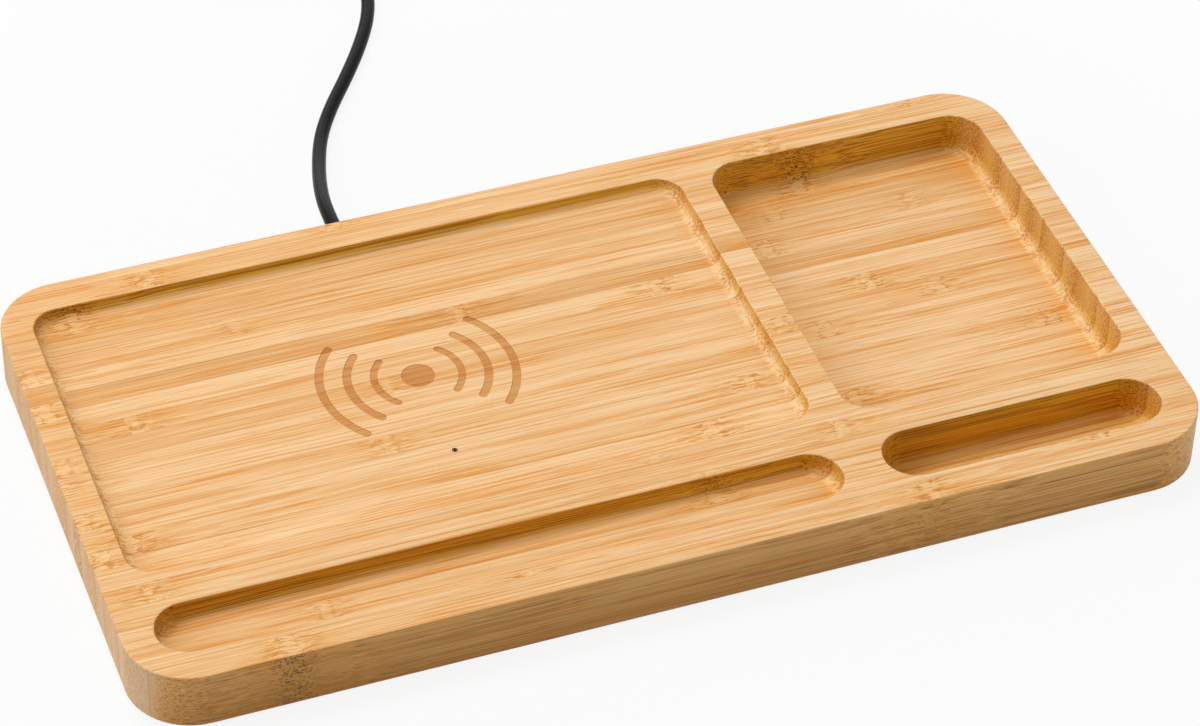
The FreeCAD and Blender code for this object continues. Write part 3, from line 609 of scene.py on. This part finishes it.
def plated_finish(name, base, roughness=0.28, coat=0.0):
    """Plated or enamelled metal with drawing marks, tarnish and brighter edges."""
    shade = new_shade(name)
    x, y, z = shade.millimetres()
    place = shade.vector(x, y, z)
    marks = shade.noise(shade.vector(x * 0.4, y * 6.0, z * 6.0), 1.0, 3.0, 0.6)
    cloud = shade.noise(place, 0.35, 3.0)
    edge_reach = 0.0002
    bright = shade.edges(edge_reach) * 0.6
    duller = tuple(channel * 0.90 for channel in base)
    brighter = tuple(min(1.0, channel * 1.15) for channel in base)
    ground = shade.blend(shade.smooth(cloud, 0.45, 0.75), base, duller)
    ground = shade.blend(bright, ground, brighter)
    rough = roughness + (marks - 0.5) * 0.2 + (cloud - 0.5) * 0.15
    return shade.finish(Base_Color=ground, Metallic=1.0, Roughness=rough, Coat_Weight=coat,
                        Normal=shade.bump(marks, 0.00001))


def laminate_finish():
    """Green solder mask over traces, with bare tinned dots."""
    shade = new_shade("Circuit laminate")
    x, y, z = shade.millimetres()
    lane_pitch = 1.3
    lane = shade.math("FLOOR", y / lane_pitch)
    in_lane = abs(y / lane_pitch - lane - 0.5) * lane_pitch
    broken = shade.smooth(shade.noise(shade.vector(x * 0.10, lane * 7.3, 0.0)), 0.49, 0.50)
    trace = shade.smooth(in_lane, 0.30, 0.24) * broken
    dots = shade.cells(shade.vector(x, y, 0.0), 0.4)
    via = shade.smooth(dots, 0.13, 0.11)
    mottle = shade.noise(shade.vector(x, y, z), 1.5, 3.0)
    dark_green, green = (0.006, 0.10, 0.035), (0.012, 0.15, 0.055)
    over_trace, tin = (0.03, 0.26, 0.10), (0.62, 0.60, 0.55)
    coloured = shade.blend(mottle, dark_green, green)
    coloured = shade.blend(trace, coloured, over_trace)
    coloured = shade.blend(via, coloured, tin)
    rough = 0.32 + (mottle - 0.5) * 0.2
    return shade.finish(Base_Color=coloured, Metallic=via, Roughness=rough,
                        Normal=shade.bump(trace, 0.00003))


def foam_finish():
    """Dark open foam with pores of several sizes, with painted shade in the pores."""
    shade = new_shade("Foam")
    place = shade.vector(*shade.millimetres())
    large_pores = shade.smooth(shade.cells(place, 1.6), 0.20, 0.45)
    small_pores = shade.smooth(shade.cells(place, 4.0), 0.10, 0.40)
    pores = large_pores * small_pores
    # The pores' dark colour is painted shade in their hollows
    depth, skin = (0.02, 0.02, 0.02), (0.11, 0.11, 0.115)
    coloured = shade.blend(pores, depth, skin)
    rough = 0.98 - pores * 0.08
    return shade.finish(Base_Color=coloured, Roughness=rough, Normal=shade.bump(pores, 0.00025))


def ceramic_finish():
    """Tan ceramic blocks with tinned ends."""
    shade = new_shade("Capacitor ceramic")
    place = shade.vector(*shade.millimetres())
    ends = shade.smooth(abs(shade.facing()[0]), 0.7, 0.9)
    speck = shade.noise(place, 4.0, 3.0, 0.7)
    brown, tan, tin = (0.33, 0.21, 0.11), (0.48, 0.34, 0.20), (0.66, 0.65, 0.63)
    coloured = shade.blend(ends, shade.blend(speck, brown, tan), tin)
    rough = 0.45 + (speck - 0.5) * 0.3
    return shade.finish(Base_Color=coloured, Metallic=ends, Roughness=rough,
                        Normal=shade.bump(speck, 0.00002))


def clear_finish():
    """Clear moulded plastic with faint flow marks."""
    shade = new_shade("Clear plastic")
    x, y, z = shade.millimetres()
    flow = shade.noise(shade.vector(x * 2.0, y * 2.0, z * 0.4), 1.0, 3.0)
    dull, clear = (0.90, 0.91, 0.90), (0.97, 0.97, 0.96)
    coloured = shade.blend(flow, dull, clear)
    rough = 0.08 + flow * 0.12
    return shade.finish(Base_Color=coloured, Roughness=rough, Transmission_Weight=1.0, IOR=1.49,
                        Normal=shade.bump(flow, 0.00001))


def webbing_finish(cable, middle):
    """Hook-and-loop webbing: tufts of fine loops between two woven selvedges."""
    shade = new_shade("Tie webbing")
    x, y, z = shade.millimetres(middle, cable.tie_angle)
    place = shade.vector(x, y, z)
    half_width = cable.tie_width / MM / 2
    selvedge = shade.smooth(abs(y), half_width - 1.0, half_width - 0.8)
    loops = 1.0 - shade.smooth(shade.cells(place, 2.4), 0.10, 0.55)
    fuzz = shade.noise(place, 5.0, 3.0, 0.7)
    rib_pitch = 0.5
    ribs = shade.math("SINE", (x + z) * (2 * math.pi / rib_pitch)) * 0.5 + 0.5
    pile = loops * 0.7 + fuzz * 0.3
    height = pile + (ribs * 0.5 - pile) * selvedge
    tip = tuple(channel * 2.6 + 0.01 for channel in cable.webbing)
    coloured = shade.blend(height * 0.6, cable.webbing, tip)
    rough = 0.95 - height * 0.15
    return shade.finish(Base_Color=coloured, Roughness=rough, Normal=shade.bump(height, 0.00018),
                        Sheen_Weight=0.25, Specular_IOR_Level=0.2)


def jacket_finish(cable):
    """Satin extruded jacket with a faint grain and handling marks."""
    return moulded_finish("Cable jacket", cable.jacket, 0.27, 1.6, 0.00001, 0.07)


def new_piece(name, bm, material):
    """A finished piece of the object from a bmesh, riding on the one body."""
    crease = math.radians(40)
    mesh = bpy.data.meshes.new(name)
    bm.normal_update()
    bm.to_mesh(mesh)
    bm.free()
    mesh.shade_smooth()
    mesh.set_sharp_from_angle(angle=crease)
    mesh.materials.append(material)
    piece = bpy.data.objects.new(name, mesh)
    bpy.context.scene.collection.objects.link(piece)
    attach(piece, BODY)
    return piece


def dress(material, *names):
    """Give CAD nodes a finish through their material slots."""
    for name in names:
        for slot in NODES[name].material_slots:
            slot.material = material


class Coil:
    """The put-away turns: wound in on the lower layer, a climb, and wound out on the upper layer."""
    lower_turns = 3.0
    climb_turns = 0.5
    upper_turns = 2.75
    points_per_turn = 24

    def __init__(self, cable):
        self.pitch = cable.turn_pitch
        self.inner = cable.inner_turn
        self.low = cable.lower_axis
        self.outer = self.inner + self.lower_turns * self.pitch
        self.entry_lean = math.atan(self.pitch / (2 * math.pi * self.outer))
        end = self.inner + (self.upper_turns + self.entry_lean / math.pi) * self.pitch
        leave_lean = math.atan(self.pitch / (2 * math.pi * end))
        leans = (self.entry_lean + leave_lean) / (2 * math.pi)
        self.turns = self.lower_turns + self.climb_turns + self.upper_turns + leans
        joint = Vector(FREE_RUN[-1]) + Vector((0, cable.diameter, 0))
        across = Vector((-math.cos(self.entry_lean), math.sin(self.entry_lean), 0)) * self.outer
        self.middle = Vector((joint.x, joint.y, 0)) + across

    def radius_and_height(self, turn):
        """Radius and height of the cable's axis after so many turns; the climb dips inside both layers."""
        reverse = turn - self.lower_turns
        if reverse < 0:
            return self.outer - self.pitch * turn, self.low
        if reverse < self.climb_turns:
            part = reverse / self.climb_turns
            dip = self.pitch * self.climb_turns * (part - part * part)
            return self.inner - dip, self.low + self.pitch * part * part * (3 - 2 * part)
        return self.inner + self.pitch * (reverse - self.climb_turns), self.low + self.pitch

    def point(self, turn, swell=1.0):
        """Point of the cable's axis after so many turns, with its radius swollen."""
        radius, height = self.radius_and_height(turn)
        way = 2 * math.pi * turn - self.entry_lean
        out = Vector((math.cos(way), math.sin(way), 0)) * swell * radius
        return self.middle + out + Vector((0, 0, height))

    def control_points(self):
        """Spline points of the turns, a little outside them, because the spline runs inside its points."""
        count = round(self.turns * self.points_per_turn)
        swell = 1 / math.cos(math.pi * self.turns / count)
        return [self.point(self.turns * k / count, swell) for k in range(count + 1)]


class ORGANIZER_OT_camera(bpy.types.Operator):
    """Set the camera at the photograph's angle"""
    bl_idname = "organizer.camera"
    bl_label = "Camera"

    def execute(self, context):
        stage = context.scene.organizer.stage
        azimuth, elevation = stage.azimuth, stage.elevation
        back = Vector((math.sin(azimuth) * math.cos(elevation), -math.cos(azimuth) * math.cos(elevation),
                       math.sin(elevation)))
        right = Vector((math.cos(azimuth), math.sin(azimuth), 0))
        turn = Matrix((right, back.cross(right), back)).transposed().to_4x4()
        data = bpy.data.cameras.new("camera")
        data.sensor_width = 36.0
        data.lens = stage.lens
        camera = bpy.data.objects.new("camera", data)
        place = Matrix.Translation(Vector(stage.aim) + back * stage.distance)
        camera.matrix_world = place @ turn @ Matrix.Rotation(stage.roll, 4, "Z")
        context.scene.collection.objects.link(camera)
        context.scene.camera = camera
        return {"FINISHED"}


class ORGANIZER_OT_supply_cable(bpy.types.Operator):
    """Lay the supply cable from the boot to the plug, with its tie and the plug's overmould"""
    bl_idname = "organizer.supply_cable"
    bl_label = "Supply cable"

    def execute(self, context):
        cable = context.scene.organizer.cable
        coil = Coil(cable)
        points = [Vector(point) for point in FREE_RUN] + coil.control_points()
        end = coil.point(coil.turns) - Vector((cable.diameter, 0, 0))
        points.append(Vector((end.x, end.y, coil.low + coil.pitch)))
        points += [Vector((end.x + dx, end.y + dy, height)) for dx, dy, height in TAIL_STEPS]

        curve = bpy.data.curves.new("supply_cable", "CURVE")
        curve.dimensions = "3D"
        spline = curve.splines.new("NURBS")
        spline.points.add(len(points) - 1)
        for target, point in zip(spline.points, points):
            target.co = (*point, 1.0)
        spline.order_u = 3
        spline.use_endpoint_u = True
        spline.resolution_u = 6
        curve.bevel_depth = cable.diameter / 2
        curve.bevel_resolution = 8
        curve.use_fill_caps = True
        curve.materials.append(jacket_finish(cable))
        piece = bpy.data.objects.new("supply_cable", curve)
        context.scene.collection.objects.link(piece)
        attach(piece, BODY)
        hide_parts("cable_free_run", "cable_coil", "cable_tail")
        cable_tie(cable, coil)
        plug_grip(cable)
        return {"FINISHED"}


def ease_edges(bm, edges, offset, segments):
    """Round edges off."""
    bmesh.ops.bevel(bm, geom=edges, offset=offset, segments=segments, profile=0.5, affect="EDGES",
                    material=-1)


def cable_tie(cable, coil):
    """Hook-and-loop band round all turns of the coil, with its tail laid over the top."""
    clear = 0.0002
    corner = 0.0022
    radius = cable.diameter / 2
    sag = cable.tie_width * cable.tie_width / 8 / (coil.inner - cable.diameter)
    near = coil.inner - coil.pitch * coil.climb_turns / 4 - radius - sag - clear
    far = coil.outer + radius + clear
    top = coil.low + coil.pitch + radius + clear
    band = cable.tie_thickness
    bm = bmesh.new()
    bmesh.ops.create_cube(bm, size=1.0)
    size = Vector((far - near + 2 * band, cable.tie_width, top + band))
    bmesh.ops.scale(bm, vec=size, verts=bm.verts)
    bmesh.ops.translate(bm, vec=((near + far) / 2, 0, size.z / 2), verts=bm.verts)
    ends = [face for face in bm.faces if abs(face.normal.y) > 0.5]
    bmesh.ops.delete(bm, geom=ends, context="FACES_ONLY")
    corners = [edge for edge in bm.edges if not edge.is_boundary]
    ease_edges(bm, corners, corner, 6)
    bmesh.ops.solidify(bm, geom=bm.faces, thickness=band)
    bmesh.ops.recalc_face_normals(bm, faces=bm.faces)
    lay_tail(bm, near + corner, far - corner, top + band, cable)
    bmesh.ops.rotate(bm, cent=(0, 0, 0), matrix=Matrix.Rotation(cable.tie_angle, 3, "Z"), verts=bm.verts)
    bmesh.ops.translate(bm, vec=coil.middle, verts=bm.verts)
    piece = new_piece("cable_tie_band", bm, webbing_finish(cable, coil.middle))
    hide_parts("cable_tie")
    return piece


def lay_tail(bm, start, end, height, cable):
    """Flat tail with round ends on top of the tie's band, its rim eased."""
    half = cable.tie_width / 2
    sunk = 0.0001
    ease = 0.0002
    tail = bmesh.ops.create_circle(bm, cap_ends=True, radius=half, segments=32)["verts"]
    right = [vert for vert in tail if vert.co.x > 0]
    left = [vert for vert in tail if vert.co.x <= 0]
    bmesh.ops.translate(bm, vec=(end - half, 0, height - sunk), verts=right)
    bmesh.ops.translate(bm, vec=(start + half, 0, height - sunk), verts=left)
    face = tail[0].link_faces[0]
    grown = bmesh.ops.extrude_face_region(bm, geom=[face], use_keep_orig=True)["geom"]
    upper = [item for item in grown if isinstance(item, bmesh.types.BMVert)]
    bmesh.ops.translate(bm, vec=(0, 0, cable.tie_thickness), verts=upper)
    shell = {near for vert in upper + tail for near in vert.link_faces}
    bmesh.ops.recalc_face_normals(bm, faces=list(shell))
    rim = [edge for edge in bm.edges if all(vert in upper for vert in edge.verts)]
    ease_edges(bm, rim, ease, 3)


def plug_grip(cable):
    """Overmould of the plug: a rounded block with ribbed grips and a grooved neck."""
    edge = 0.0015
    low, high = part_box("plug_overmould")
    middle = (low + high) / 2
    block = Vector((high.x - low.x - cable.neck_length, high.y - low.y, high.z - low.z))
    bm = bmesh.new()
    bmesh.ops.create_cube(bm, size=1.0)
    bmesh.ops.scale(bm, vec=block, verts=bm.verts)
    bmesh.ops.translate(bm, vec=(low.x + block.x / 2, middle.y, middle.z), verts=bm.verts)
    ease_edges(bm, bm.edges[:], edge, 5)
    for side in (-1, 1):
        raise_ribs(bm, max(bm.faces, key=lambda face: face.normal.z * side * face.calc_area()))
    turn_neck(bm, low.x + block.x, high.x, middle)
    plastic = moulded_finish("Plug plastic", cable.jacket, 0.5, 3.0, 0.00004)
    piece = new_piece("plug_grip", bm, plastic)
    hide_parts("plug_overmould")
    return piece


def raise_ribs(bm, panel):
    """Sink a panel of the plug a little and raise ribs across it."""
    rib_count = 6
    margin = 0.0018
    sink = 0.0004
    slope = 0.0002
    bmesh.ops.inset_region(bm, faces=[panel], thickness=margin)
    bmesh.ops.inset_region(bm, faces=[panel], thickness=slope, depth=-sink)
    height = panel.calc_center_median().z
    start = min(vert.co.x for vert in panel.verts)
    step = (max(vert.co.x for vert in panel.verts) - start) / (2 * rib_count + 1)
    strips = [panel]
    for cut in range(1, 2 * rib_count + 1):
        geom = strips + [part for face in strips for part in (*face.edges, *face.verts)]
        bmesh.ops.bisect_plane(bm, geom=list(dict.fromkeys(geom)), plane_co=(start + cut * step, 0, 0),
                               plane_no=(1, 0, 0))
        strips = [face for face in bm.faces if abs(face.calc_center_median().z - height) < slope / 10]
    strips.sort(key=lambda face: face.calc_center_median().x)
    bmesh.ops.inset_individual(bm, faces=strips[1::2], thickness=slope, depth=sink)


def turn_neck(bm, root, tip, middle):
    """Bend relief behind the plug's block: a tapered neck with ring grooves, spun about the cable."""
    root_radius, tip_radius = 0.0032, 0.0027
    groove_depth = 0.00045
    grooves = 4
    sunk = 0.001
    tip_ease = 0.94
    merge_reach = 0.000001
    bands = 2 * grooves + 1
    step = (tip - root) / bands
    slope = step * 0.12
    profile = [(root - sunk, 0.0), (root - sunk, root_radius)]
    for k in range(bands):
        start = root + k * step
        taper = (tip_radius - root_radius) * (k + 0.5) / bands
        radius = root_radius + taper - groove_depth * (k % 2)
        profile += [(start + slope, radius), (start + step - slope, radius)]
    profile += [(tip, tip_radius * tip_ease), (tip, 0.0)]
    verts = [bm.verts.new((x, middle.y, middle.z + radius)) for x, radius in profile]
    edges = [bm.edges.new(pair) for pair in zip(verts, verts[1:])]
    bmesh.ops.spin(bm, geom=verts + edges, cent=middle, axis=(1, 0, 0), angle=2 * math.pi, steps=36,
                   use_merge=True)
    neck = [vert for vert in bm.verts if vert.co.x > root - 1.5 * sunk and vert.is_valid]
    bmesh.ops.remove_doubles(bm, verts=neck, dist=merge_reach)
    bmesh.ops.recalc_face_normals(bm, faces=bm.faces)


class ORGANIZER_OT_bamboo_board(bpy.types.Operator):
    """Finish the milled bamboo board"""
    bl_idname = "organizer.bamboo_board"
    bl_label = "Bamboo board"

    def execute(self, context):
        dress(Bamboo(context.scene.organizer.bamboo).material(), "bamboo_body")
        return {"FINISHED"}


class ORGANIZER_OT_underside(bpy.types.Operator):
    """Finish the feet, the bottom cover and its screws"""
    bl_idname = "organizer.underside"
    bl_label = "Underside"

    def execute(self, context):
        cable = context.scene.organizer.cable
        feet = [name for name in NODES if name.startswith("foot_")]
        dress(moulded_finish("Foot rubber", cable.rubber, 0.75, 2.0, 0.00004), *feet)
        dress(moulded_finish("Cover plastic", (0.022, 0.022, 0.023), 0.55, 3.0, 0.00004), "bottom_cover")
        screws = ("cover_screws", "board_screws", "clamp_screws")
        dress(plated_finish("Screw steel", (0.62, 0.62, 0.64)), *screws)
        return {"FINISHED"}


class ORGANIZER_OT_charging_module(bpy.types.Operator):
    """Finish the pieces inside the cavity"""
    bl_idname = "organizer.charging_module"
    bl_label = "Charging module"

    def execute(self, context):
        cable = context.scene.organizer.cable
        copper = plated_finish("Enamelled copper", (0.75, 0.33, 0.16), 0.3, 0.6)
        ferrite = moulded_finish("Ferrite", (0.07, 0.07, 0.075), 0.6, 2.5)
        resin = moulded_finish("Chip resin", (0.018, 0.018, 0.018), 0.6)
        dress(laminate_finish(), "circuit_board")
        dress(copper, "charging_coil", "coil_leads")
        dress(ferrite, "ferrite_plate", "power_inductor")
        dress(foam_finish(), "foam_pad")
        dress(resin, "controller_chip", "bridge_transistors")
        dress(ceramic_finish(), "resonant_capacitors", "input_capacitors")
        dress(moulded_finish("Lamp resin", (0.8, 0.8, 0.66), 0.3), "indicator_led")
        dress(clear_finish(), "light_pipe")
        dress(moulded_finish("Clamp plastic", (0.6, 0.6, 0.57), 0.5), "cable_clamp")
        dress(moulded_finish("Red core", (0.45, 0.015, 0.015), 0.45), "supply_wire_red")
        dress(moulded_finish("Black core", (0.02, 0.02, 0.02), 0.45), "supply_wire_black")
        dress(jacket_finish(cable), "cable_lead_in")
        return {"FINISHED"}


class ORGANIZER_OT_plug(bpy.types.Operator):
    """Finish the strain relief and the plug's metal"""
    bl_idname = "organizer.plug"
    bl_label = "Strain relief and plug"

    def execute(self, context):
        cable = context.scene.organizer.cable
        dress(moulded_finish("Grommet rubber", cable.rubber, 0.6, 2.2), "strain_relief")
        dress(plated_finish("Plug steel", (0.60, 0.60, 0.61), 0.24), "plug_shell")
        dress(moulded_finish("Insulator plastic", (0.75, 0.75, 0.72), 0.4), "plug_insulator")
        dress(plated_finish("Gilt contact", (0.85, 0.60, 0.20), 0.2), "plug_contacts")
        return {"FINISHED"}


class ORGANIZER_OT_stage(bpy.types.Operator):
    """Set up the floor, the lamps and the surroundings"""
    bl_idname = "organizer.stage"
    bl_label = "Stage"

    def execute(self, context):
        stage = context.scene.organizer.stage
        self.floor(context, stage)
        for lamp in LAMPS:
            self.lamp(context, *lamp)
        self.surroundings(context, stage)
        context.scene.view_settings.view_transform = "Standard"
        return {"FINISHED"}

    def floor(self, context, stage):
        half_size = 4.0
        shadow_share = 0.11
        shadow_start, shadow_end = 150.0, 360.0
        bm = bmesh.new()
        bmesh.ops.create_grid(bm, x_segments=1, y_segments=1, size=half_size)
        mesh = bpy.data.meshes.new("floor")
        bm.to_mesh(mesh)
        bm.free()
        floor = bpy.data.objects.new("floor", mesh)
        context.scene.collection.objects.link(floor)
        shade = new_shade("Floor")
        pale = shade.node("BsdfDiffuse", {}, {"Color": (*stage.floor, 1.0)})
        white = shade.node("Emission", {}, {"Color": (1.0, 1.0, 1.0, 1.0), "Strength": 1.0})
        x, y = shade.millimetres()[:2]
        away = shade.math("SQRT", x * x + y * y)
        shadowed = shade.smooth(away, shadow_end, shadow_start) * shadow_share
        mixed = shade.node("MixShader", {}, {0: shade.watched() * (1.0 - shadowed), 1: pale, 2: white})
        shade.node("OutputMaterial", {}, {"Surface": mixed})
        mesh.materials.append(shade.owner)

    def lamp(self, context, name, place, size, power):
        data = bpy.data.lights.new(name, "AREA")
        data.shape = "RECTANGLE"
        data.size, data.size_y = size
        data.energy = power
        lamp = bpy.data.objects.new(name, data)
        lamp.location = place
        lamp.rotation_euler = (-Vector(place)).to_track_quat("-Z", "Y").to_euler()
        lamp.visible_camera = False
        context.scene.collection.objects.link(lamp)

    def surroundings(self, context, stage):
        context.scene.world = bpy.data.worlds.new("studio")
        shade = Shade(context.scene.world)
        sky = shade.node("Background", {}, {"Strength": stage.sky, "Color": (1.0, 1.0, 1.0, 1.0)})
        backdrop = shade.node("Background", {}, {"Strength": 1.0, "Color": (1.0, 1.0, 1.0, 1.0)})
        mixed = shade.node("MixShader", {}, {0: shade.watched(), 1: sky, 2: backdrop})
        shade.node("OutputWorld", {}, {"Surface": mixed})


class VIEW3D_PT_organizer(bpy.types.Panel):
    """Lists the steps and settings of the organizer"""
    bl_label = "Charging organizer"
    bl_space_type = "VIEW_3D"
    bl_region_type = "UI"
    bl_category = "Organizer"

    def draw(self, context):
        for step in STEPS:
            self.layout.operator(step.bl_idname)
        settings = context.scene.organizer
        for group in (settings.bamboo, settings.cable, settings.stage):
            box = self.layout.box()
            for name in group.__annotations__:
                box.prop(group, name)


STEPS = (
    ORGANIZER_OT_camera,
    ORGANIZER_OT_supply_cable,
    ORGANIZER_OT_bamboo_board,
    ORGANIZER_OT_underside,
    ORGANIZER_OT_charging_module,
    ORGANIZER_OT_plug,
    ORGANIZER_OT_stage,
)
CLASSES = (BambooSettings, CableSettings, StageSettings, OrganizerSettings, *STEPS, VIEW3D_PT_organizer)


def register():
    for item in CLASSES:
        bpy.utils.register_class(item)
    bpy.types.Scene.organizer = bpy.props.PointerProperty(type=OrganizerSettings)


def unregister():
    del bpy.types.Scene.organizer
    for item in reversed(CLASSES):
        bpy.utils.unregister_class(item)


def main():
    register()
    bpy.ops.organizer.camera()
    bpy.ops.organizer.supply_cable()
    bpy.ops.organizer.bamboo_board()
    bpy.ops.organizer.underside()
    bpy.ops.organizer.charging_module()
    bpy.ops.organizer.plug()
    bpy.ops.organizer.stage()


if __name__ == "__main__":
    main()
